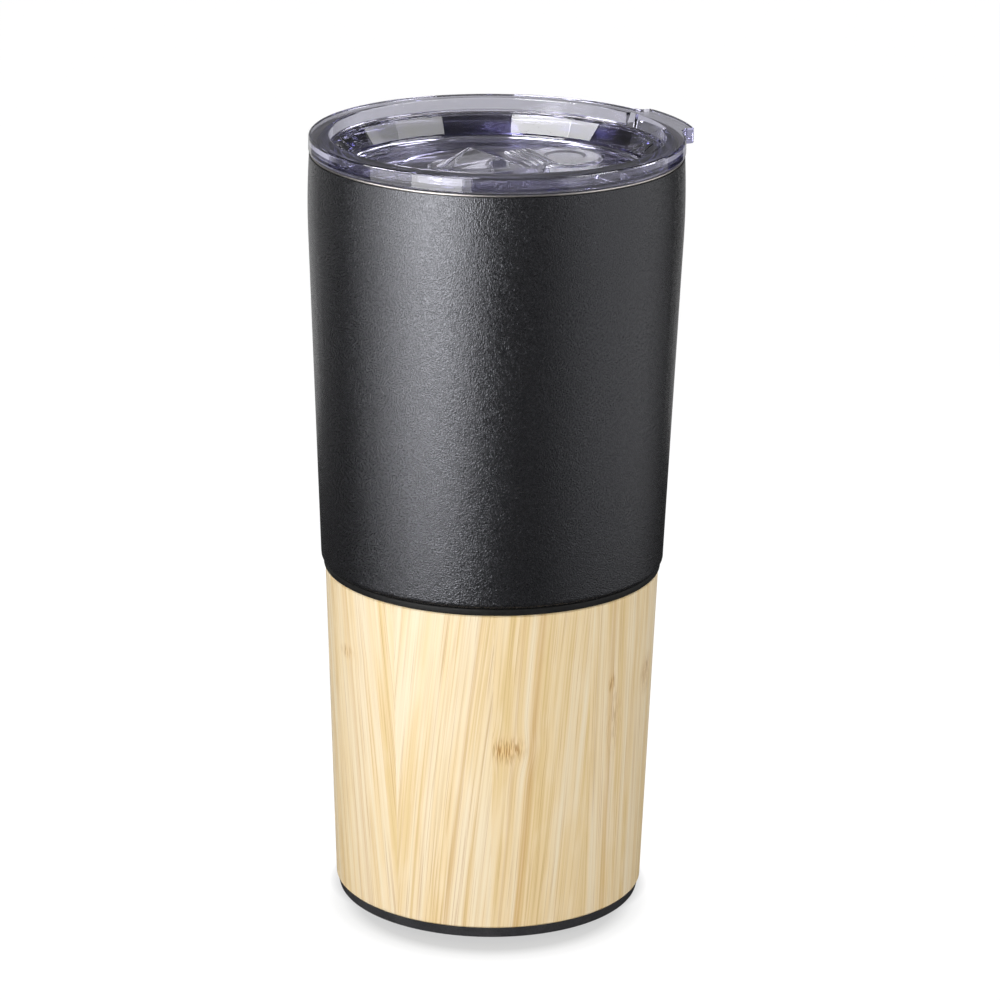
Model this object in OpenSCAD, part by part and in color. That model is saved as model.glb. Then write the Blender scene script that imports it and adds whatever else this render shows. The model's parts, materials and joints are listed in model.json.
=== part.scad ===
// Insulated tumbler: a double-walled steel cup with a bamboo sleeve round its lower half,
// a black base, and a clear push-in lid with a sliding closure.
// The cup stands on Z = 0, its axis is Z, and the drinking side of the lid faces +X.

/* [Steel cup] */
// Height of the open cup, from the table to its steel lip
cup_h = 182.6; // [150:0.1:230]
// Largest outside radius, a little below the lip
belly_r = 44; // [38:0.1:55]
// How far below the lip the largest radius lies
belly_drop = 11.6; // [5:0.1:20]
// Radius of the long curve of the wall near the lip
belly_curve_r = 200; // [120:5:400]
// How far the wall draws in from its largest radius down to the shoulder
shoulder_draw = 3.2; // [1:0.1:6]
// Height of the shoulder's underside
shoulder_z = 84; // [60:0.5:120]
// Rounding of the shoulder's edge
shoulder_round = 1.3; // [0.8:0.1:2]
// Thickness of the outer steel wall
shell_t = 0.5; // [0.4:0.05:0.7]
// Thickness of the inner steel wall
liner_t = 0.5; // [0.4:0.05:0.7]
// Width of the turned-out steel lip, from the mouth to its edge
lip_w = 1.85; // [1.5:0.05:2.5]
// Depth of the straight part of the mouth, which holds the lid
mouth_depth = 15; // [11:0.1:20]
// Least gap between the two walls, in the neck
vacuum_gap = 1.9; // [1:0.1:3]
// Gap between the two bottoms
bottom_gap = 4; // [2.5:0.1:10]
// Inside rounding between the cup's wall and its floor
floor_round = 6; // [3:0.5:12]

/* [Bamboo sleeve] */
// How far the sleeve's top edge is set back under the shoulder
shoulder_step = 1.05; // [0.6:0.05:2]
// How much the sleeve narrows from its top edge to its bottom edge
sleeve_draw = 2.8; // [0:0.05:6]
// Wall of the sleeve
sleeve_wall = 2.6; // [2:0.1:3.5]
// Bevel on the sleeve's two outer edges
sleeve_bevel = 0.4; // [0.2:0.05:0.8]
// Thickness of the soft ring between the shoulder and the sleeve
ring_t = 1.75; // [1:0.05:3]
// How far the soft ring stands out past the sleeve's top edge
ring_proud = 0.4; // [0:0.05:0.6]

/* [Base] */
// Height of the black base below the sleeve
base_h = 3.05; // [2.6:0.05:8]
// How far the base is set back from the sleeve
base_step = 0.2; // [0:0.05:0.6]
// How much the base narrows down to its foot
base_taper = 0.5; // [0:0.05:1.5]
// Rounding of the base's bottom edge
base_round = 0.8; // [0.3:0.1:1.5]
// Thickness of the base's floor
base_floor_t = 1.9; // [1.5:0.1:2.2]
// Height of the base's wall inside the sleeve
spigot_h = 8; // [4:0.5:20]
// Thickness of the base's wall inside the sleeve
spigot_t = 0.9; // [0.6:0.1:1.4]
// Width of the base's foot left round the anti-slip pad
foot_w = 6.25; // [4:0.05:12]
// Thickness of the anti-slip pad
pad_t = 1.3; // [1:0.1:1.5]
// How far the pad stands out below the base
pad_proud = 0.3; // [0.2:0.05:0.6]

/* [Lid] */
// Thickness of the rim that lies over the cup's lip
flange_t = 3.7; // [2.5:0.1:6]
// How far the rim reaches past the steel lip
flange_over = 0.4; // [0:0.05:1.5]
// Gap between the steel lip and the rim
lid_gap = 0.4; // [0.2:0.05:0.8]
// Width of the rim's top face
rim_w = 4.8; // [4:0.1:7]
// Depth of the sunk floor below the rim's top
recess_depth = 8.9; // [8:0.1:12]
// How much the sunk wall narrows from its ledge to the floor
recess_draft = 2; // [1:0.1:4]
// Thickness of the lid's floor
lid_floor_t = 2.2; // [1.8:0.1:3]
// Gap between the lid's skirt and the cup's mouth
skirt_gap = 0.7; // [0.5:0.05:1.2]
// Height of the groove that holds the gasket
groove_h = 3.8; // [3:0.1:5]
// Depth of the groove that holds the gasket
groove_depth = 1.9; // [1.2:0.1:2.1]
// Gap left between the gasket's fins and the cup's mouth
fin_gap = 0.25; // [0.2:0.05:0.4]

/* [Tab and drinking side] */
// How far the lifting tab reaches past the rim
tab_reach = 3.3; // [1.5:0.05:10]
// Width of the lifting tab
tab_w = 22; // [15:0.1:40]
// Rounding of the tab's corners, seen from above
tab_round = 1.5; // [1:0.1:3]
// Rounding between the tab's sides and the rim
tab_blend = 2; // [0.5:0.1:4]
// Width of the scoop in the rim behind the tab
scoop_w = 18.6; // [10:0.1:30]
// How far the scoop cuts into the rim at its top
scoop_cut = 1.25; // [0.5:0.05:2]
// Size of the drinking hole along X
hole_l = 8; // [6:0.1:9]
// Size of the drinking hole across
hole_w = 13; // [10:0.1:14]
// Radius of the small air hole at the back of the lid
vent_r = 1; // [0.5:0.1:2]

/* [Sliding closure] */
// Radius of the closure's round end
end_r = 9; // [8.8:0.1:10]
// Where the round end stops on the drinking side
front_x = 26.5; // [25:0.1:28]
// Radius of the closure's back end
rear_r = 7; // [6:0.1:8]
// Where the back end stops, behind the cup's axis
rear_x = 17; // [17:0.1:19]
// Thickness of the closure's plate
plate_t = 2.2; // [2:0.1:2.6]
// How far the closure slides to open
slide_travel = 12.5; // [8:0.1:13]
// Height of the thumb grip above the plate
grip_h = 4; // [2.5:0.1:6]
// Half of the width of the thumb grip's front edge
grip_half_w = 8; // [5:0.1:8.4]
// Number of finger ribs on the plate
rib_n = 5; // [3:1:5]
// Width of the round end's edge round the milky seal
seal_edge = 1; // [0.8:0.1:1.5]
// Thickness of the milky seal
seal_t = 1.2; // [1:0.1:1.4]

/* [Hidden] */

// Facets round a full turn, on revolved forms and on hulls
round_fn = 128;
hull_fn = 32;
// Steps along a rounded corner, and along the long curve near the lip
corner_steps = 6;
curve_steps = 10;
// How far a cut runs past the face that it opens
overrun = 1;
// Gap between pieces that are pressed or glued together
fit = 0.05;

// Rounding where the shoulder turns down into the neck
neck_round = 0.6;
// Flat left on top of the steel lip, between its inside rounding and its rounded edge
lip_flat = 0.1;
// Gap between the neck and the sleeve, filled with glue
sleeve_fit = 0.1;
// Rounding of the soft ring's outer edge
ring_round = 0.6;
// Gap above the base's wall inside the sleeve, and over the base's floor
spigot_gap = 0.4;
foot_gap = 0.1;

// Dished disc that closes the outer wall
disc_t = 0.6;
disc_rise = 2.2;
disc_round = 1.2;
dimple_r = 7;
dimple_top_r = 4;
dimple_h = 1.4;
evacuation_r = 1;
bead_r = 3;
bead_h = 0.9;
getter_r = 5;
getter_h = 1.5;
getter_rim = 0.6;
getter_dip = 0.4;
getter_x = 17;

// Ring grooves under the anti-slip pad
pad_groove_w = 1.2;
pad_groove_depth = 0.15;
pad_ring_share = [0.3, 0.55, 0.8];

// Lid: roundings, ledge, drain channel and ring line of the sunk floor
rim_round = 0.6;
edge_round = 0.4;
ledge_w = 0.7;
foot_round = 1.3;
channel_w = 4.05;
channel_depth = 0.4;
line_r = 23.5;
line_w = 0.8;
line_depth = 0.25;
// Lid: skirt above and below the gasket's groove
groove_drop = 7.3;
skirt_below = 1.8;
skirt_lip_w = 2.9;
skirt_bevel = 0.6;
// Gasket: its fins
fin_t = 0.7;
fin_lift = 0.5;
fin_inset = 0.35;
gasket_band_r_share = 0.55;

// Closure: gaps to the lid, grip, ribs, dish, stem and snap head
slide_gap = 0.2;
slot_gap = 0.3;
clip_gap = 0.25;
plate_bevel = 0.4;
hole_ahead = 1;
grip_front_x = 4;
grip_apex_x = -7;
grip_rear_gap = 2;
grip_front_r = 0.8;
grip_rear_r = 3.2;
grip_apex_r = 0.6;
rib_r = 0.5;
rib_pitch = 1.45;
rib_start = 1.7;
rib_margin = 0.7;
dish_r = 5;
dish_bevel = 0.8;
dish_depth = 0.35;
seal_proud = 0.15;
stem_l = 5.4;
stem_w = 4.4;
stem_x = 0.4;
neck_step = 0.7;
head_step = 0.35;
head_h = 0.7;
split_w = 0.8;
clip_l = 14;
clip_w = 12;
clip_t = 1.4;
clip_round = 2;

// Radii down the cup, from the largest to the anti-slip pad
shoulder_r = belly_r - shoulder_draw;
sleeve_top_r = shoulder_r - shoulder_step;
sleeve_bottom_r = sleeve_top_r - sleeve_draw;
base_top_r = sleeve_bottom_r - base_step;
base_foot_r = base_top_r - base_taper;
pad_r = base_foot_r - foot_w;

// Heights up the cup
foot_z = pad_proud + base_floor_t + foot_gap;
disc_top_z = foot_z + disc_rise;
floor_z = disc_top_z + bottom_gap + liner_t;
sleeve_bottom_z = base_h;
sleeve_top_z = shoulder_z - ring_t;
spigot_top_z = sleeve_bottom_z + spigot_h;
mouth_z = cup_h - mouth_depth;
shell_top_z = cup_h - liner_t;
belly_z = cup_h - belly_drop;

// Outline of the outer wall: a long curve near the lip, tangent to a cone below it
belly_c = [belly_r - belly_curve_r, belly_z];
shoulder_c = [shoulder_r - shoulder_round, shoulder_z + shoulder_round];
to_shoulder = [shoulder_r, shoulder_c[1]] - belly_c;
tangent_a = atan2(to_shoulder[1], to_shoulder[0]) + acos(belly_curve_r / norm(to_shoulder));
top_a = asin((shell_top_z - belly_z) / belly_curve_r);
shell_top_r = belly_c[0] + belly_curve_r * cos(top_a);

// The lip lies on the outer wall's edge, and the lid is sized by the mouth and the lip
lip_r = shell_top_r - shell_t / 2;
mouth_r = lip_r - lip_w;
lip_round = lip_w - liner_t / 2 - lip_flat;
flange_z = cup_h + lid_gap;
lid_top_z = flange_z + flange_t;
flange_r = lip_r + flange_over;
tab_r = flange_r + tab_reach;
rim_in_r = flange_r - rim_w;
ledge_r = rim_in_r - ledge_w;
recess_r = ledge_r - recess_draft;
lid_floor_z = lid_top_z - recess_depth;
lid_under_z = lid_floor_z - lid_floor_t;
bed_r = recess_r - foot_round - channel_w;
channel_z = lid_floor_z - channel_depth;
vent_x = bed_r + channel_w / 2;
skirt_r = mouth_r - skirt_gap;
groove_r = skirt_r - groove_depth;
groove_top_z = flange_z - groove_drop;
groove_low_z = groove_top_z - groove_h;
skirt_foot_z = groove_low_z - skirt_below;
skirt_in_r = skirt_r - skirt_lip_w;
fin_r = mouth_r - fin_gap;

// Heights and places of the closure
plate_z = lid_floor_z + slide_gap;
plate_top_z = plate_z + plate_t;
end_x = front_x - end_r;
back_x = rear_r - rear_x;
hole_x = end_x + hole_ahead;
grip_rear_x = grip_rear_gap - rear_x;
seal_r = end_r - seal_edge;
seal_low_z = plate_z - seal_proud;
clip_top_z = lid_under_z - clip_gap;
clip_low_z = clip_top_z - clip_t;
slot_l = stem_l + slide_travel + 2 * slot_gap;
slot_w = stem_w + 2 * slot_gap;
slot_x = stem_x - slide_travel / 2;

// Points on an arc about c from angle a to angle b
function arc(c, r, a, b, n = corner_steps) =
    [for (i = [0:n]) c + r * [cos(a + (b - a) * i / n), sin(a + (b - a) * i / n)]];

function flip(points) = [for (i = [len(points) - 1:-1:0]) points[i]];

// Outside radius of the sleeve, of the neck inside it, and inside radius of the liner, at height z
function sleeve_r(z) = sleeve_bottom_r
    + (sleeve_top_r - sleeve_bottom_r) * (z - sleeve_bottom_z) / (sleeve_top_z - sleeve_bottom_z);
function bore_r(z) = sleeve_r(z) - sleeve_wall;
function neck_r(z) = bore_r(z) - sleeve_fit;
function liner_r(z) = neck_r(z) - shell_t - vacuum_gap - liner_t;

// Half outline of the outer wall's outside, or of the face that lies t inside it
function shell_line(t) = let (neck_c = [neck_r(shoulder_z) + neck_round, shoulder_z - neck_round])
    concat(
        arc(belly_c, belly_curve_r - t, top_a, tangent_a, curve_steps),
        arc(shoulder_c, shoulder_round - t, 0, -90),
        arc(neck_c, neck_round + t, 90, 180),
        [[neck_r(foot_z) - t, foot_z]]);

// Half outline of the liner's inside, or of the face that lies t outside it
function liner_line(t) = let (
        lip_c = [mouth_r + lip_round, cup_h - lip_round],
        corner_c = [liner_r(floor_z + floor_round) - floor_round, floor_z + floor_round])
    concat(
        [[lip_r - liner_t / 2, cup_h - t]],
        arc(lip_c, lip_round - t, 90, 180),
        [[mouth_r + t, mouth_z], [liner_r(shoulder_z) + t, shoulder_z]],
        arc(corner_c, floor_round + t, 0, -90),
        [[0, floor_z - t]]);

module revolve(points) rotate_extrude($fn = round_fn) polygon(points);

module round_bar(l, w) {
    square([l - w, w], center = true);
    for (side = [-1, 1]) translate([side * (l - w) / 2, 0]) circle(d = w, $fn = round_fn);
}

module round_plate(l, w, r) {
    square([l - 2 * r, w], center = true);
    square([l, w - 2 * r], center = true);
    for (x = [-1, 1], y = [-1, 1])
        translate([x * (l / 2 - r), y * (w / 2 - r)]) circle(r, $fn = round_fn);
}

// Drawn outer wall, from its edge under the lip down past the shoulder to the foot
module outer_shell() {
    color("#2b2b2d") revolve(concat(shell_line(0), flip(shell_line(shell_t))));
}

// Drawn inner cup with its turned-out lip, rounded at the edge
module inner_liner() {
    edge_c = [lip_r - liner_t / 2, cup_h - liner_t / 2];
    color("#c9cacc") revolve(concat(
        liner_line(0), flip(liner_line(liner_t)), arc(edge_c, liner_t / 2, -75, 75)));
}

// Welded disc that closes the outer wall, with the dimple for the evacuation hole
module outer_bottom() {
    edge_r = neck_r(foot_z) - shell_t - fit;
    corner_c = [edge_r - disc_round, disc_top_z - disc_round];
    dimple_z = disc_top_z + dimple_h;
    top = concat(
        [[edge_r, foot_z]],
        arc(corner_c, disc_round, 0, 90),
        [[dimple_r, disc_top_z], [dimple_top_r, dimple_z], [evacuation_r, dimple_z]]);
    under = concat(
        [[edge_r - disc_t, foot_z]],
        arc(corner_c, disc_round - disc_t, 0, 90),
        [[dimple_r, disc_top_z - disc_t], [dimple_top_r, dimple_z - disc_t],
         [evacuation_r, dimple_z - disc_t]]);
    color("#9b9c9e") revolve(concat(top, flip(under)));
}

// Glass bead in the dimple, with a plug in the evacuation hole
module vacuum_seal() {
    bead_z = disc_top_z + dimple_h - disc_t;
    color("#5d6b4f") revolve([
        [0, bead_z - bead_h], [bead_r / 2, bead_z - bead_h * 3 / 4], [bead_r, bead_z],
        [evacuation_r - fit, bead_z], [evacuation_r - fit, bead_z + disc_t], [0, bead_z + disc_t]]);
}

// Getter pellet in its small cup, on the disc inside the vacuum
module getter() {
    color("#6f6f6f") translate([getter_x, 0, disc_top_z]) difference() {
        cylinder(h = getter_h, r = getter_r, $fn = round_fn);
        translate([0, 0, getter_h - getter_dip])
            cylinder(h = getter_dip + overrun, r = getter_r - getter_rim, $fn = round_fn);
    }
}

// Soft ring that takes up the gap between the shoulder and the sleeve
module shoulder_ring() {
    in_r = neck_r(shoulder_z) + neck_round + fit;
    out_r = sleeve_top_r + ring_proud - ring_round;
    round_r = min(ring_round, ring_t / 2);
    color("#1d1d1e") revolve(concat(
        [[in_r, sleeve_top_z]],
        arc([out_r, sleeve_top_z + round_r], round_r, -90, 0),
        arc([out_r, shoulder_z - round_r], round_r, 0, 90),
        [[in_r, shoulder_z]]));
}

// Turned bamboo tube, counterbored at the bottom for the base's inner wall
module bamboo_sleeve() {
    counter_r = neck_r(spigot_top_z) + fit + spigot_t + fit;
    counter_z = spigot_top_z + spigot_gap;
    color("#e3cfa0") revolve([
        [counter_r, sleeve_bottom_z],
        [sleeve_bottom_r - sleeve_bevel, sleeve_bottom_z],
        [sleeve_r(sleeve_bottom_z + sleeve_bevel), sleeve_bottom_z + sleeve_bevel],
        [sleeve_r(sleeve_top_z - sleeve_bevel), sleeve_top_z - sleeve_bevel],
        [sleeve_top_r - sleeve_bevel, sleeve_top_z],
        [bore_r(sleeve_top_z), sleeve_top_z],
        [bore_r(counter_z), counter_z],
        [counter_r, counter_z]]);
}

// Black base: a shallow cap with a wall that stands up between the sleeve and the neck
module base_cap() {
    spigot_in_r = neck_r(spigot_top_z) + fit;
    recess_z = pad_t;
    color("#232324") revolve(concat(
        [[0, recess_z], [pad_r + fit, recess_z], [pad_r + fit, pad_proud]],
        arc([base_foot_r - base_round, pad_proud + base_round], base_round, -90, 0),
        [[base_top_r, sleeve_bottom_z],
         [spigot_in_r + spigot_t, sleeve_bottom_z], [spigot_in_r + spigot_t, spigot_top_z],
         [spigot_in_r, spigot_top_z], [spigot_in_r, foot_z - foot_gap], [0, foot_z - foot_gap]]));
}

// Soft anti-slip pad with shallow rings in its underside
module foot_pad() {
    color("#161616") difference() {
        cylinder(h = pad_t, r = pad_r, $fn = round_fn);
        for (share = pad_ring_share)
            translate([0, 0, -overrun]) difference() {
                cylinder(h = overrun + pad_groove_depth, r = pad_r * share, $fn = round_fn);
                translate([0, 0, -overrun])
                    cylinder(h = 4 * overrun, r = pad_r * share - pad_groove_w, $fn = round_fn);
            }
    }
}

// Half outline of the lid's rim, skirt, sunk wall and floor
function lid_line() = concat(
    [[0, lid_under_z], [skirt_in_r - skirt_bevel, lid_under_z],
     [skirt_in_r, skirt_foot_z], [skirt_r - skirt_bevel, skirt_foot_z],
     [skirt_r, skirt_foot_z + skirt_bevel], [skirt_r, groove_low_z],
     [groove_r, groove_low_z], [groove_r, groove_top_z], [skirt_r, groove_top_z],
     [skirt_r, flange_z]],
    arc([flange_r - edge_round, flange_z + edge_round], edge_round, -90, 0),
    arc([flange_r - rim_round, lid_top_z - rim_round], rim_round, 0, 90),
    arc([rim_in_r + edge_round, lid_top_z - edge_round], edge_round, 90, 180),
    arc([rim_in_r - edge_round, flange_z + edge_round], edge_round, 0, -90),
    arc([ledge_r + edge_round, flange_z - edge_round], edge_round, 90, 180),
    arc([recess_r - foot_round, channel_z + foot_round], foot_round, 0, -90),
    [[bed_r, channel_z], [bed_r, lid_floor_z],
     [line_r + line_w / 2, lid_floor_z], [line_r, lid_floor_z - line_depth],
     [line_r - line_w / 2, lid_floor_z], [0, lid_floor_z]]);

// Rim profile carried out to the tab's edge, for the tab's rounded top
function tab_line() = concat(
    [[rim_in_r + rim_round, flange_z]],
    arc([tab_r - edge_round, flange_z + edge_round], edge_round, -90, 0),
    arc([tab_r - rim_round, lid_top_z - rim_round], rim_round, 0, 90),
    [[rim_in_r + rim_round, lid_top_z]]);

// Tab seen from above: a strip whose corners are rounded and whose roots blend into the rim
module tab_plan() {
    side = tab_w / 2 - tab_round;
    corner_x = sqrt(pow(tab_r - tab_round, 2) - side * side);
    polygon([[0, 0], [2 * corner_x, -2 * side], [2 * corner_x, 2 * side]]);
    translate([0, -tab_w / 2]) square([corner_x, tab_w]);
    for (way = [-1, 1]) {
        translate([corner_x, way * side]) circle(tab_round, $fn = round_fn);
        blend_y = tab_w / 2 + tab_blend;
        blend_x = sqrt(pow(flange_r + tab_blend, 2) - blend_y * blend_y);
        rim_share = flange_r / (flange_r + tab_blend);
        difference() {
            polygon([
                [blend_x, way * tab_w / 2], [blend_x, way * blend_y],
                [blend_x * rim_share, way * blend_y * rim_share], [rim_in_r, way * tab_w / 2]]);
            translate([blend_x, way * blend_y]) circle(tab_blend, $fn = round_fn);
        }
    }
}

// Lifting tab: the rim carried out and cut to the tab's plan
module tab() {
    intersection() {
        revolve(tab_line());
        translate([0, 0, flange_z - overrun]) linear_extrude(flange_t + 2 * overrun) tab_plan();
    }
}

// Slanted scoop in the rim's inner face, where the lips meet the lid
module scoop() {
    intersection() {
        revolve([
            [ledge_r, flange_z], [rim_in_r, flange_z], [rim_in_r + scoop_cut, lid_top_z],
            [rim_in_r + scoop_cut, lid_top_z + overrun], [ledge_r, lid_top_z + overrun]]);
        translate([0, -scoop_w / 2, flange_z - overrun])
            cube([tab_r, scoop_w, flange_t + 2 * overrun]);
    }
}

// Clear moulded lid
module lid_body() {
    floor_cut = lid_floor_t + 2 * overrun;
    color("#cfd0e0", 0.45) difference() {
        union() {
            revolve(lid_line());
            tab();
        }
        scoop();
        translate([0, 0, lid_under_z - overrun]) {
            translate([hole_x, 0]) rotate(90) linear_extrude(floor_cut) round_bar(hole_w, hole_l);
            translate([slot_x, 0]) linear_extrude(floor_cut) round_bar(slot_l, slot_w);
            translate([-vent_x, 0]) cylinder(h = floor_cut, r = vent_r, $fn = round_fn);
        }
    }
}

// Clear silicone ring with two upturned fins, in the groove of the lid's skirt
module lid_gasket() {
    in_r = groove_r + fit;
    low_z = groove_low_z + fit;
    top_z = groove_top_z - fit;
    band_r = in_r + (fin_r - in_r) * gasket_band_r_share;
    fin_low_z = low_z + fin_inset;
    fin_high_z = top_z - fin_inset - fin_t - fin_lift;
    color("#e6e6ea", 0.6) revolve([
        [in_r, low_z], [band_r, low_z],
        [band_r, fin_low_z], [fin_r, fin_low_z + fin_lift],
        [fin_r, fin_low_z + fin_lift + fin_t / 2], [band_r, fin_low_z + fin_t],
        [band_r, fin_high_z], [fin_r, fin_high_z + fin_lift],
        [fin_r, fin_high_z + fin_lift + fin_t / 2], [band_r, fin_high_z + fin_t],
        [band_r, top_z], [in_r, top_z]]);
}

// Closure's plate: two round ends joined by straight sides, bevelled on top
module slider_plate() {
    translate([0, 0, plate_z]) hull()
        for (puck = [[end_x, end_r], [back_x, rear_r]]) translate([puck[0], 0]) {
            cylinder(h = plate_t - plate_bevel, r = puck[1], $fn = 2 * hull_fn);
            cylinder(h = plate_t, r = puck[1] - plate_bevel, $fn = 2 * hull_fn);
        }
}

// Peaked thumb grip: three feet drawn up to one point
module slider_grip() {
    translate([0, 0, plate_z]) hull() {
        for (side = [-1, 1])
            translate([grip_front_x - grip_front_r, side * (grip_half_w - grip_front_r)])
                cylinder(h = plate_t, r = grip_front_r, $fn = hull_fn);
        translate([grip_rear_x + grip_rear_r, 0]) cylinder(h = plate_t, r = grip_rear_r, $fn = hull_fn);
        translate([grip_apex_x, 0, plate_t + grip_h - grip_apex_r]) sphere(grip_apex_r, $fn = hull_fn);
    }
}

// Row of rounded ribs across the plate, in front of the grip
module slider_ribs() {
    for (i = [0:rib_n - 1]) {
        rib_x = grip_front_x + rib_start + i * rib_pitch;
        side_share = (rib_x - back_x) / (end_x - back_x);
        half_l = rear_r + (end_r - rear_r) * side_share - rib_margin;
        translate([rib_x, half_l, plate_top_z])
            rotate([90, 0]) cylinder(h = 2 * half_l, r = rib_r, $fn = hull_fn);
    }
}

// Stem through the lid's slot, with a split snap head below the clip
module slider_stem() {
    neck_l = stem_l - 2 * neck_step;
    neck_w = stem_w - 2 * neck_step;
    head_z = clip_low_z - fit - head_h;
    translate([stem_x, 0]) {
        translate([0, 0, clip_top_z])
            linear_extrude(plate_z - clip_top_z + fit) round_bar(stem_l, stem_w);
        difference() {
            union() {
                translate([0, 0, head_z]) linear_extrude(clip_top_z - head_z) round_bar(neck_l, neck_w);
                translate([0, 0, head_z])
                    linear_extrude(head_h) round_bar(neck_l + 2 * head_step, neck_w + 2 * head_step);
            }
            translate([-stem_l / 2, -split_w / 2, head_z - overrun])
                cube([stem_l, split_w, clip_low_z - head_z + overrun]);
        }
    }
}

// Clear sliding closure
module slider() {
    color("#d6d7e6", 0.5) difference() {
        union() {
            slider_plate();
            slider_grip();
            slider_ribs();
            slider_stem();
        }
        translate([end_x, 0, plate_z - overrun])
            cylinder(h = seal_t - seal_proud + fit + overrun, r = seal_r + fit, $fn = round_fn);
        translate([end_x, 0, plate_top_z - dish_depth])
            cylinder(h = dish_depth + overrun, r1 = dish_r - dish_bevel,
                     r2 = dish_r + dish_bevel * overrun / dish_depth, $fn = round_fn);
    }
}

// Milky soft pad let into the underside of the closure's round end
module slider_seal() {
    color("#f1f0ee", 0.8) translate([end_x, 0, seal_low_z])
        cylinder(h = seal_t, r = seal_r, $fn = round_fn);
}

// Snap plate under the lid's floor, held on the stem by its head
module slider_clip() {
    color("#d6d7e6", 0.5) translate([stem_x, 0, clip_low_z]) linear_extrude(clip_t - fit)
        difference() {
            round_plate(clip_l, clip_w, clip_round);
            round_bar(stem_l - 2 * (neck_step - fit), stem_w - 2 * (neck_step - fit));
        }
}

outer_shell();
inner_liner();
outer_bottom();
vacuum_seal();
getter();
shoulder_ring();
bamboo_sleeve();
base_cap();
foot_pad();
lid_body();
lid_gasket();
slider();
slider_seal();
slider_clip();
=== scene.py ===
import json
import math

import bpy
from mathutils import Matrix, Vector


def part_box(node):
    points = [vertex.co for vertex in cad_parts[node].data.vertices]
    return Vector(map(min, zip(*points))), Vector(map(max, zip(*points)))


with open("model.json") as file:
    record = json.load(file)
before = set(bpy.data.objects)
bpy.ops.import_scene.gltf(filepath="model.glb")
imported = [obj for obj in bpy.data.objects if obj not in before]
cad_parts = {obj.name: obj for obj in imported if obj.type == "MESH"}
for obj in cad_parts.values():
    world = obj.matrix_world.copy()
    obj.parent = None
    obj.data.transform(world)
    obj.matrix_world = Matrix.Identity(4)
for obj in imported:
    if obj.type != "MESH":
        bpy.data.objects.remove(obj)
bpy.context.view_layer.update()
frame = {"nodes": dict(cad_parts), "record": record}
scene = bpy.context.scene
nodes = frame["nodes"]

MM = 0.001
FULL_TURN = 2 * math.pi
WHITE = (1, 1, 1, 1)

# The photograph's viewpoint: degrees round the cup, metres from its axis and above the table, and
# degrees to the side, down and about the line of sight
VIEW_AZIMUTH = -25.0
VIEW_DISTANCE = 0.99091
VIEW_HEIGHT = 0.41384
VIEW_YAW = 0.1
VIEW_PITCH = 17.696
VIEW_ROLL = 0.758
LENS_MM = 157.33
SENSOR_MM = 36.0

SLEEVE_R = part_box("bamboo_sleeve")[1].x
LIP_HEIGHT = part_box("inner_liner")[1].z


def turned(axis, degrees):
    return Matrix.Rotation(math.radians(degrees), 4, axis)


def make_camera():
    """Camera at the photograph's viewpoint."""
    data = bpy.data.cameras.new("camera")
    data.lens = LENS_MM
    data.sensor_width = SENSOR_MM
    camera = bpy.data.objects.new("camera", data)
    scene.collection.objects.link(camera)
    place = turned("Z", VIEW_AZIMUTH) @ Matrix.Translation((0, -VIEW_DISTANCE, VIEW_HEIGHT))
    place = place @ turned("Z", -VIEW_YAW)
    camera.matrix_world = place @ turned("X", 90 - VIEW_PITCH) @ turned("Z", VIEW_ROLL)
    scene.camera = camera


class Nodes:
    """Short calls that add shader nodes to one tree. Each returns the new node's output."""

    def __init__(self, tree):
        self.tree = tree

    def put(self, socket, value):
        if isinstance(value, bpy.types.NodeSocket):
            self.tree.links.new(value, socket)
        else:
            socket.default_value = value

    def add(self, kind, inputs=None, out=0, **settings):
        node = self.tree.nodes.new("ShaderNode" + kind)
        for name, value in settings.items():
            setattr(node, name, value)
        for name, value in (inputs or {}).items():
            self.put(node.inputs[name], value)
        return node.outputs[out]

    def math(self, operation, *values):
        return self.add("Math", dict(enumerate(values)), operation=operation)

    def bell(self, squared, sharpness=1.0):
        """1 in the middle, fading with the square of the distance."""
        return self.math("POWER", math.e, self.math("MULTIPLY", squared, -sharpness))

    def position(self):
        return self.add("TexCoord", out="Object")

    def split(self, vector):
        """The X, Y and Z of a vector."""
        return self.add("SeparateXYZ", {0: vector}).node.outputs

    def noise(self, vector, scale, detail=2.0, roughness=0.5):
        return self.add("TexNoise", {"Vector": vector, "Scale": scale, "Detail": detail,
                                     "Roughness": roughness}, out="Fac")

    def ramp(self, value, *stops):
        """Colour ramp with (place, colour) stops. A plain number is a grey."""
        out = self.add("ValToRGB", {"Fac": value})
        elements = out.node.color_ramp.elements
        while len(elements) < len(stops):
            elements.new(0.5)
        for element, (place, colour) in zip(elements, stops):
            element.position = place
            element.color = (*colour, 1) if isinstance(colour, tuple) else (colour,) * 3 + (1,)
        return out

    def remap(self, value, low, high, to_low=0.0, to_high=1.0):
        return self.add("MapRange", {"Value": value, "From Min": low, "From Max": high,
                                     "To Min": to_low, "To Max": to_high})

    def mix(self, share, a, colour):
        """This share of a colour laid over a. Sockets 6 and 7 are the node's two colours."""
        return self.add("Mix", {"Factor": share, 6: a, 7: (*colour, 1)}, out=2, data_type="RGBA")

    def bump(self, height, strength, depth):
        return self.add("Bump", {"Height": height, "Strength": strength, "Distance": depth})

    def background(self, strength):
        return self.add("Background", {"Color": WHITE, "Strength": strength})

    def mix_shaders(self, share, a, b):
        """This share of shader b over shader a."""
        return self.add("MixShader", {0: share, 1: a, 2: b})


def new_material(name):
    """New node material with its node calls and its main shader."""
    material = bpy.data.materials.new(name)
    material.use_nodes = True
    n = Nodes(material.node_tree)
    surface = material.node_tree.nodes["Principled BSDF"]
    return material, n, surface


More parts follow.
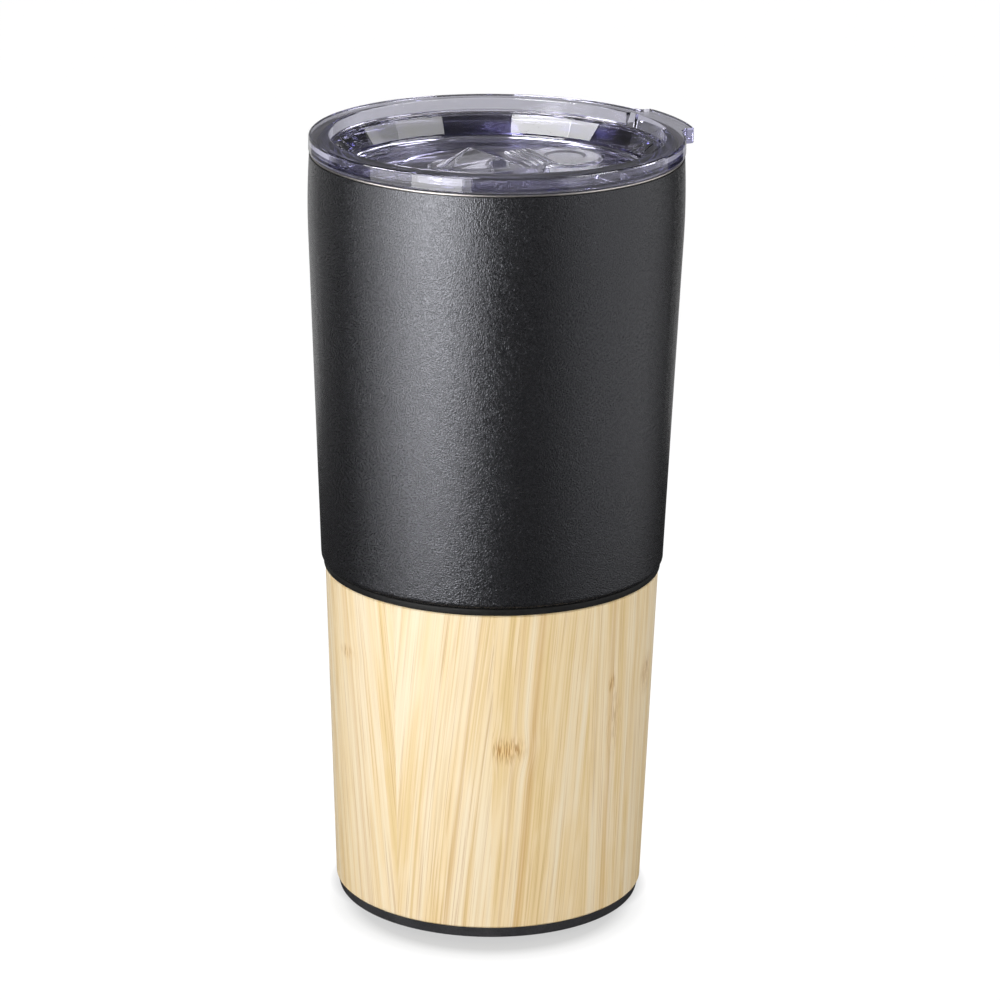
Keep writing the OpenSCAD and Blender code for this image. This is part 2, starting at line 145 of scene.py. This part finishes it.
# Powder coat: noise scales, depth of the grain, colours and roughness between the flecks and on them
COAT_GRAIN, COAT_FLECKS = 3600, 3900
COAT_DEPTH = 0.1 * MM
COAT_TONES = ((0.35, (0.0027, 0.0027, 0.0031)), (0.7, (0.0135, 0.0135, 0.0152)))
COAT_ROUGH, COAT_SMOOTH = 0.38, 0.12
COAT_SHINE = 0.9
COAT_TINT = (0.91, 0.92, 1.0, 1)


def black_coat():
    """Powder coat: near black, with a fine grain that sparkles where it catches a lamp."""
    material, n, surface = new_material("black_coat")
    place = n.position()
    grain = n.noise(place, COAT_GRAIN, 0)
    flecks = n.noise(place, COAT_FLECKS, 1, 0.6)
    n.put(surface.inputs["Base Color"], n.ramp(flecks, *COAT_TONES))
    n.put(surface.inputs["Roughness"], n.remap(flecks, 0.36, 0.64, COAT_ROUGH, COAT_SMOOTH))
    surface.inputs["Specular IOR Level"].default_value = COAT_SHINE
    surface.inputs["Specular Tint"].default_value = COAT_TINT
    n.put(surface.inputs["Normal"], n.bump(grain, 1.0, COAT_DEPTH))
    return material


# Steel: noise scales of the rings along X, Y and Z and of the clouds, colours, and the duller lip, whose
# darker colour is painted shade under the lid's flange
STEEL_RINGS, STEEL_CLOUDS = (30, 30, 9000), 90
STEEL_TONES = ((0.3, (0.53, 0.53, 0.54)), (0.7, (0.61, 0.61, 0.62)))
STEEL_SMOOTH, STEEL_ROUGH = 0.12, 0.2
LIP_STARTS, LIP_FULL = LIP_HEIGHT - 1.0 * MM, LIP_HEIGHT - 0.6 * MM
LIP_SHADE_COLOUR = (0.35, 0.33, 0.31)
LIP_ROUGHER = 0.15


def bare_steel():
    """Stainless steel, turned on a lathe: fine rings round the cup's axis."""
    material, n, surface = new_material("bare_steel")
    place = n.position()
    rings = n.noise(n.add("Mapping", {"Vector": place, "Scale": STEEL_RINGS}), 1, 3, 0.6)
    clouds = n.noise(place, STEEL_CLOUDS, 3)
    surface.inputs["Metallic"].default_value = 1
    lip = n.remap(n.split(place)["Z"], LIP_STARTS, LIP_FULL)
    # Painted shade: the lip's colour is darkened where it sits under the lid's flange; its added
    # roughness is the steel's own
    n.put(surface.inputs["Base Color"], n.mix(lip, n.ramp(rings, *STEEL_TONES), LIP_SHADE_COLOUR))
    fine = n.remap(n.math("ADD", rings, clouds), 0.7, 1.3, STEEL_SMOOTH, STEEL_ROUGH)
    n.put(surface.inputs["Roughness"], n.math("ADD", fine, n.math("MULTIPLY", lip, LIP_ROUGHER)))
    return material


# Bamboo strips glued side by side round the sleeve. Azimuths are degrees to the right of the
# photograph's viewpoint, heights are metres above the table.
STRIP_COUNT = 10
STRIP_SEAM = 1.0
STRIP_WIDTH = FULL_TURN * SLEEVE_R / STRIP_COUNT
# Seed of each strip's own tone and slant, the greatest slant, and the strips' distance in the noise
STRIP_SEED = 34.61
STRIP_SLANT = 0.12
STRIP_STEP = 7.3
# The fibres drift this far sideways, in waves of this length
DRIFT_WIDTH, DRIFT_LENGTH = 2.5 * MM, 0.09
# Nodes of the bamboo: azimuth, height, half width, half height, and how dark they are
BAMBOO_NODES = (
    (6, 0.0485, 0.0036, 0.0026, 1.0),
    (47, 0.0615, 0.0013, 0.0022, 0.7),
    (49, 0.0520, 0.0032, 0.0090, 0.35),
    (-60, 0.0660, 0.0030, 0.0016, 0.5),
    (72, 0.0590, 0.0036, 0.0045, 0.6),
    (105, 0.0300, 0.0040, 0.0028, 0.9),
    (150, 0.0680, 0.0030, 0.0024, 0.8),
    (192, 0.0410, 0.0038, 0.0027, 0.9),
    (231, 0.0180, 0.0028, 0.0022, 0.7),
    (262, 0.0560, 0.0036, 0.0026, 0.9),
)
# How sharply a node's brown and its halo fade, and how far it pushes the fibres aside
BROWN_FADE, HALO_FADE, NODE_PUSH = 0.9, 0.3, 0.3
# Darker streaks along the fibres: strip, metres from its middle at the foot, half width, how dark
BAMBOO_STREAKS = (
    (0, -0.0049, 0.0008, 0.9),
    (0, -0.0094, 0.0004, 0.6),
    (9, 0.0020, 0.0006, 0.45),
    (9, -0.0060, 0.0004, 0.35),
    (8, 0.0040, 0.0009, 0.45),
    (1, -0.0040, 0.0008, 0.45),
    (3, 0.0020, 0.0012, 0.7),
    (5, -0.0060, 0.0010, 0.6),
    (6, 0.0055, 0.0012, 0.6),
)
WOOD_TONES = ((0.34, (0.77, 0.58, 0.29)), (0.47, (0.84, 0.66, 0.39)), (0.64, (0.87, 0.74, 0.53)))
CLOUD_COLOUR = (0.92, 0.78, 0.57)
FIBRE_COLOUR = (0.62, 0.42, 0.16)
THREAD_COLOUR = (0.51, 0.29, 0.10)
STREAK_COLOUR = (0.60, 0.36, 0.12)
HALO_COLOUR = (0.86, 0.70, 0.45)
DASH_COLOUR = (0.35, 0.16, 0.04)
NODE_COLOUR = (0.78, 0.49, 0.16)
WOOD_SHINE = 0.35
WOOD_DEPTH = 0.03 * MM


def around(n, place):
    """Turns round the cup's axis from the first seam right of the viewpoint, and the height."""
    parts = n.split(place)
    angle = n.math("DIVIDE", n.math("ARCTAN2", parts["Y"], parts["X"]), FULL_TURN)
    first = (VIEW_AZIMUTH - 90 + STRIP_SEAM) / 360
    return n.math("FRACT", n.math("ADD", angle, 1 - first)), parts["Z"]


def long_streaks(n, strip, beside):
    """How dark the long streaks are at this distance from the strip's middle."""
    streak = 0.0
    for index, middle, half_w, dark in BAMBOO_STREAKS:
        off = n.math("DIVIDE", n.math("SUBTRACT", beside, middle), half_w)
        here = n.math("MULTIPLY", n.math("COMPARE", strip, index, 0.5), dark)
        band = n.math("MULTIPLY", n.bell(n.math("MULTIPLY", off, off)), here)
        streak = n.math("MAXIMUM", streak, band)
    return streak


def wood_nodes(n, turn, height, beside):
    """Brown and halo of the bamboo's nodes, and the fibres' distance as the nodes push it aside."""
    brown, halo = 0.0, 0.0
    for azimuth, level, half_w, half_h, dark in BAMBOO_NODES:
        turns = n.math("SUBTRACT", turn, ((azimuth - STRIP_SEAM) / 360) % 1)
        off = n.math("DIVIDE", n.math("MULTIPLY", turns, FULL_TURN * SLEEVE_R), half_w)
        above = n.math("DIVIDE", n.math("SUBTRACT", height, level), half_h)
        away = n.math("ADD", n.math("MULTIPLY", off, off), n.math("MULTIPLY", above, above))
        near = n.bell(away, HALO_FADE)
        pushed = n.math("MULTIPLY", n.math("MULTIPLY", off, near), -NODE_PUSH * half_w * dark)
        beside = n.math("ADD", beside, pushed)
        brown = n.math("MAXIMUM", brown, n.math("MULTIPLY", n.bell(away, BROWN_FADE), dark))
        halo = n.math("MAXIMUM", halo, near)
    return brown, halo, beside


def bamboo():
    """Turned tube of glued bamboo strips, each with its own tone and slant, and with brown nodes."""
    material, n, surface = new_material("bamboo")
    turn, height = around(n, n.position())
    strips = n.math("MULTIPLY", turn, STRIP_COUNT)
    strip = n.math("FLOOR", strips)
    middle = n.math("ADD", strip, 0.5)
    across = n.math("MULTIPLY", n.math("SUBTRACT", strips, middle), STRIP_WIDTH)
    chance = n.add("TexWhiteNoise", {"W": n.math("ADD", strip, STRIP_SEED)}, out=1,
                   noise_dimensions="1D")
    chances = n.add("SeparateColor", {0: chance}).node.outputs
    slant = n.math("MULTIPLY", height, n.remap(chances[0], 0, 1, STRIP_SLANT, -STRIP_SLANT))
    wave = n.add("CombineXYZ", {0: strip, 2: n.math("DIVIDE", height, DRIFT_LENGTH)})
    drift = n.math("MULTIPLY", n.noise(wave, 1, 0), DRIFT_WIDTH)
    beside = n.math("ADD", across, n.math("ADD", slant, drift))
    streak = long_streaks(n, strip, beside)
    brown, halo, beside = wood_nodes(n, turn, height, beside)
    seed = n.math("MULTIPLY", strip, STRIP_STEP)

    def grain(width, length, detail, roughness, x):
        """Noise drawn out along the fibres, with features of this width and length in metres."""
        place = {0: n.math("DIVIDE", x, width), 1: seed, 2: n.math("DIVIDE", height, length)}
        return n.noise(n.add("CombineXYZ", place), 1, detail, roughness)

    bands = grain(0.0026, 0.09, 2, 0.6, beside)
    fibres = grain(0.0004, 0.06, 2, 0.6, beside)
    threads = grain(0.00028, 0.03, 1, 0.5, beside)
    clouds = grain(0.003, 0.012, 1, 0.5, beside)
    dashes = grain(0.0003, 0.0036, 1, 0.6, across)
    tone = n.math("ADD", n.math("MULTIPLY", bands, 0.88), n.math("MULTIPLY", chances[1], 0.12))
    thick = n.math("MULTIPLY", n.remap(fibres, 0.48, 0.63), n.remap(bands, 0.62, 0.38, 0.4, 1.0))
    # Each layer's share of the surface, and its colour, from the bottom up
    layers = (
        (n.remap(clouds, 0.5, 0.75, 0, 0.35), CLOUD_COLOUR),
        (n.math("MULTIPLY", thick, 0.47), FIBRE_COLOUR),
        (n.remap(threads, 0.6, 0.72, 0, 0.48), THREAD_COLOUR),
        (n.math("MULTIPLY", streak, n.remap(fibres, 0.35, 0.6, 0.45, 0.9)), STREAK_COLOUR),
        (n.math("MULTIPLY", halo, 0.15), HALO_COLOUR),
        (n.math("MULTIPLY", n.remap(brown, 0.1, 0.75), n.remap(dashes, 0.48, 0.57)), DASH_COLOUR),
        (n.math("MULTIPLY", brown, 0.3), NODE_COLOUR),
    )
    wood = n.ramp(tone, *WOOD_TONES)
    for share, colour in layers:
        wood = n.mix(share, wood, colour)
    n.put(surface.inputs["Base Color"], wood)
    n.put(surface.inputs["Roughness"], n.remap(fibres, 0.3, 0.7, 0.42, 0.55))
    surface.inputs["Specular IOR Level"].default_value = WOOD_SHINE
    n.put(surface.inputs["Normal"], n.bump(fibres, 0.25, WOOD_DEPTH))
    return material


# Clear plastic and rubber: colour, roughness, colour left after passing through it, density of that
# colour, and how clear the skin is
CLEAR = {
    "clear_plastic": ((0.945, 0.94, 0.985), 0.0, (0.53, 0.51, 0.86), 42, 1.0),
    "clear_silicone": ((0.9, 0.9, 0.92), 0.25, None, 0.0, 1.0),
    "satin_plastic": ((0.91, 0.905, 0.96), 0.08, (0.6, 0.58, 0.84), 16, 0.97),
}
CLEAR_IOR = 1.54
# Moulded plastic and rubber, and two small hidden parts: colour, roughness, noise scale of the grain,
# its strength, and shine
MOULDED = {
    "seal_glass": ((0.12, 0.15, 0.09), 0.2, 400, 0.2, 0.5),
    "getter_metal": ((0.12, 0.12, 0.12), 0.6, 1500, 0.6, 0.5),
    "black_rubber": ((0.008, 0.008, 0.008), 0.5, 1200, 0.2, 0.15),
    "black_plastic": ((0.027, 0.027, 0.030), 0.42, 2500, 0.25, 0.4),
    "milky_silicone": ((0.75, 0.75, 0.72), 0.4, 600, 0.1, 0.5),
    "worn_rubber": ((0.024, 0.024, 0.025), 0.62, 1100, 0.35, 0.3),
}
MOTTLE = 130
MOTTLE_PALER = 1.8
MOTTLE_ROUGHNESS = 0.06
MOULD_DEPTH = 0.03 * MM
# Pieces that don't have their slot's own material: the closure's lightly frosted plastic, and the
# anti-slip pad, worn to a duller, greyer black than the ring
OWN_MATERIALS = {"slider": "satin_plastic", "slider_clip": "satin_plastic", "foot_pad": "worn_rubber"}


def clear(name, colour, roughness, absorbed, density, clearness):
    """Clear plastic or rubber, deeper in colour where it is thick."""
    material, n, surface = new_material(name)
    haze = n.noise(n.position(), 500, 2)
    surface.inputs["Base Color"].default_value = (*colour, 1)
    surface.inputs["Transmission Weight"].default_value = clearness
    surface.inputs["IOR"].default_value = CLEAR_IOR
    n.put(surface.inputs["Roughness"], n.remap(haze, 0.4, 0.8, roughness, roughness + 0.03))
    if absorbed:
        volume = n.add("VolumeAbsorption", {"Color": (*absorbed, 1), "Density": density})
        n.put(material.node_tree.nodes["Material Output"].inputs["Volume"], volume)
    return material


def moulded(name, colour, roughness, grain_scale, strength, shine):
    """Matt moulded plastic or rubber with a fine grain, faintly mottled by handling."""
    material, n, surface = new_material(name)
    place = n.position()
    grain = n.noise(place, grain_scale, 2)
    mottle = n.noise(place, MOTTLE, 3, 0.6)
    paler = tuple(MOTTLE_PALER * c for c in colour)
    tone = n.math("MULTIPLY_ADD", grain, 0.5, n.math("MULTIPLY", mottle, 0.5))
    n.put(surface.inputs["Base Color"], n.ramp(tone, (0.38, colour), (0.62, paler)))
    low, high = roughness - MOTTLE_ROUGHNESS, roughness + MOTTLE_ROUGHNESS
    n.put(surface.inputs["Roughness"], n.remap(mottle, 0.3, 0.7, low, high))
    surface.inputs["Specular IOR Level"].default_value = shine
    n.put(surface.inputs["Normal"], n.bump(grain, strength, MOULD_DEPTH))
    return material


def finish_nodes():
    """Gives every CAD node its material."""
    made = {"black_coat": black_coat(), "bare_steel": bare_steel(), "bamboo": bamboo()}
    made.update({name: clear(name, *values) for name, values in CLEAR.items()})
    made.update({name: moulded(name, *values) for name, values in MOULDED.items()})
    for sub in frame["record"]["subparts"]:
        node = nodes[sub["node"]]
        if not node.material_slots:
            node.data.materials.append(None)
        for slot in node.material_slots:
            slot.material = made[OWN_MATERIALS.get(sub["node"], sub["material_slot"])]


# Soft boxes: name, degrees to the right of the viewpoint, height of the lower and upper edge,
# distance from the cup's axis and width in metres, and brightness.
# These show only in reflections and through clear plastic. They are brighter than the plain level.
SHINE_PANELS = (
    ("shine_wide", -46, 0.0, 0.25, 0.29, 0.36, 2.5),
    ("shine_core", -34, 0.03, 0.25, 0.285, 0.15, 5.0),
    ("shine_high", -38, 0.35, 0.5, 0.28, 0.27, 14.0),
    ("shine_side", -79.6, 0.36, 0.46, 0.28, 0.16, 11.0),
    ("card_high", 68, 0.3, 0.48, 0.3, 0.22, 5.6),
    ("card_side", 108, 0.3, 0.39, 0.3, 0.22, 3.6),
)
# These light matt surfaces only
MATT_PANELS = (
    ("key", -42, 0.0, 0.3, 0.29, 0.34, 2.95),
    ("fill", 50, 0.0, 0.3, 0.5, 0.5, 1.72),
    ("back", 175, 0.05, 0.4, 0.5, 0.6, 1.1),
)


def panel(name, azimuth, low, high, distance, width, radiance, tip=0.0):
    """Soft box that faces the cup's axis, or tipped down by so many degrees."""
    data = bpy.data.lights.new(name, "AREA")
    data.shape = "RECTANGLE"
    data.size = width
    data.size_y = high - low
    data.energy = math.pi * data.size * data.size_y * radiance
    light = bpy.data.objects.new(name, data)
    scene.collection.objects.link(light)
    light.visible_camera = False
    middle = Matrix.Translation((0, -distance, (low + high) / 2))
    light.matrix_world = turned("Z", VIEW_AZIMUTH + azimuth) @ middle @ turned("X", 90 - tip)
    return light


def make_panels():
    """All soft boxes. The last four light matt surfaces and show in reflections."""
    for values in SHINE_PANELS:
        panel(*values).visible_diffuse = False
    for values in MATT_PANELS:
        soft = panel(*values)
        soft.visible_glossy = False
        soft.visible_transmission = False
    panel("card", 80, 0.0, 0.3, 0.22, 0.36, 0.6)
    panel("edge", -140, 0.0, 0.4, 0.4, 0.3, 0.3)
    panel("rear", 180, 0.0, 0.2, 0.35, 0.4, 0.5).visible_transmission = False
    panel("top", 0, 0.5, 1.1, 0.0, 0.6, 0.8, 90)


# Strength of the surroundings: the world's own dark grey on matt surfaces, and white in reflections,
# from the horizon to this rise above it, with more at the horizon through clear plastic
AROUND_MATT = 0.6
AROUND_HORIZON, AROUND_ABOVE, HORIZON_RISE = 0.3, 0.17, 0.12
AROUND_THROUGH = 0.2


def make_world():
    """White to the camera. Dimmer in reflections and through clear plastic, most of all high up."""
    world = bpy.data.worlds.new("world")
    scene.world = world
    world.use_nodes = True
    n = Nodes(world.node_tree)
    soft = world.node_tree.nodes["Background"]
    n.put(soft.inputs["Strength"], AROUND_MATT)
    rise = n.split(n.add("TexCoord", out="Generated"))["Z"]
    rays = n.add("LightPath").node.outputs
    through = rays["Is Transmission Ray"]
    horizon = n.math("MULTIPLY_ADD", through, AROUND_THROUGH, AROUND_HORIZON)
    reflected = n.background(n.remap(rise, 0.0, HORIZON_RISE, horizon, AROUND_ABOVE))
    shiny = n.math("MAXIMUM", rays["Is Glossy Ray"], through)
    unseen = n.mix_shaders(shiny, soft.outputs[0], reflected)
    seen = n.mix_shaders(rays["Is Camera Ray"], unseen, n.background(1))
    n.put(world.node_tree.nodes["World Output"].inputs["Surface"], seen)


FLOOR_HALF = 3.0
# The floor's grey: pale where it lights matt surfaces, dark to the camera and in reflections. The
# camera sees its glow instead. Reflections don't.
FLOOR_COLOURS = ((0, 0.9), (1, 0.06))
# Share of the glow that is seen through clear plastic
FLOOR_THROUGH = 0.53
# How far the floor's painted soft shadow reaches from under the cup towards the photograph's viewpoint
SHADOW_SHIFT = 0.011
# The glow of the painted shadow from its middle outwards, and of the painted contact shadow from the
# cup's axis outwards: metres and strength
SHADOW_GLOW = ((0.0285, 0.57), (0.0315, 0.62), (0.0335, 0.77), (0.036, 0.91), (0.039, 0.985),
               (0.043, 1.0))
CONTACT_SHADOW_GLOW = ((0.036, 0.6), (0.039, 1.0))
# The floor is open here, hidden under the cup, so that light from below shows the foot
FOOT_HOLE = 0.034


def make_floor():
    """White floor. The cup's soft shadow is drawn in its glow, and it is clear from below."""
    h = FLOOR_HALF
    mesh = bpy.data.meshes.new("floor")
    mesh.from_pydata([(-h, -h, 0), (h, -h, 0), (h, h, 0), (-h, h, 0)], [], [(0, 1, 2, 3)])
    floor = bpy.data.objects.new("floor", mesh)
    scene.collection.objects.link(floor)
    mesh.materials.append(floor_material())


def floor_material():
    """Matt white that glows to the camera, less in its painted shadow, and is clear from below."""
    material, n, surface = new_material("floor")
    rays = n.add("LightPath").node.outputs
    shown = n.math("MAXIMUM", rays["Is Camera Ray"], rays["Is Glossy Ray"])
    n.put(surface.inputs["Base Color"], n.ramp(shown, *FLOOR_COLOURS))
    surface.inputs["Roughness"].default_value = 0.9
    surface.inputs["Specular IOR Level"].default_value = 0
    through = n.math("MULTIPLY", rays["Is Transmission Ray"], FLOOR_THROUGH)
    seen = n.math("MAXIMUM", rays["Is Camera Ray"], through)
    middle = turned("Z", VIEW_AZIMUTH) @ Vector((0, -SHADOW_SHIFT, 0))
    shifted = n.add("VectorMath", {0: n.position(), 1: middle}, out=1, operation="DISTANCE")
    away = n.add("VectorMath", {0: n.position()}, out=1, operation="LENGTH")
    # Painted shadow: the glow is dimmed under and round the cup
    glow = n.math("MINIMUM", n.ramp(shifted, *SHADOW_GLOW), n.ramp(away, *CONTACT_SHADOW_GLOW))
    surface.inputs["Emission Color"].default_value = WHITE
    n.put(surface.inputs["Emission Strength"], n.math("MULTIPLY", seen, glow))
    below = n.add("NewGeometry", out="Backfacing")
    gone = n.math("MAXIMUM", below, n.math("LESS_THAN", away, FOOT_HOLE))
    whole = n.mix_shaders(gone, surface.outputs[0], n.add("BsdfTransparent"))
    n.put(material.node_tree.nodes["Material Output"].inputs["Surface"], whole)
    return material


# Light is followed far enough to pass through all walls of the lid and the closure
scene.cycles.max_bounces = 24
scene.cycles.glossy_bounces = 12
scene.cycles.transmission_bounces = 20
make_camera()
make_world()
make_floor()
make_panels()
finish_nodes()

scene.view_settings.view_transform = "Standard"
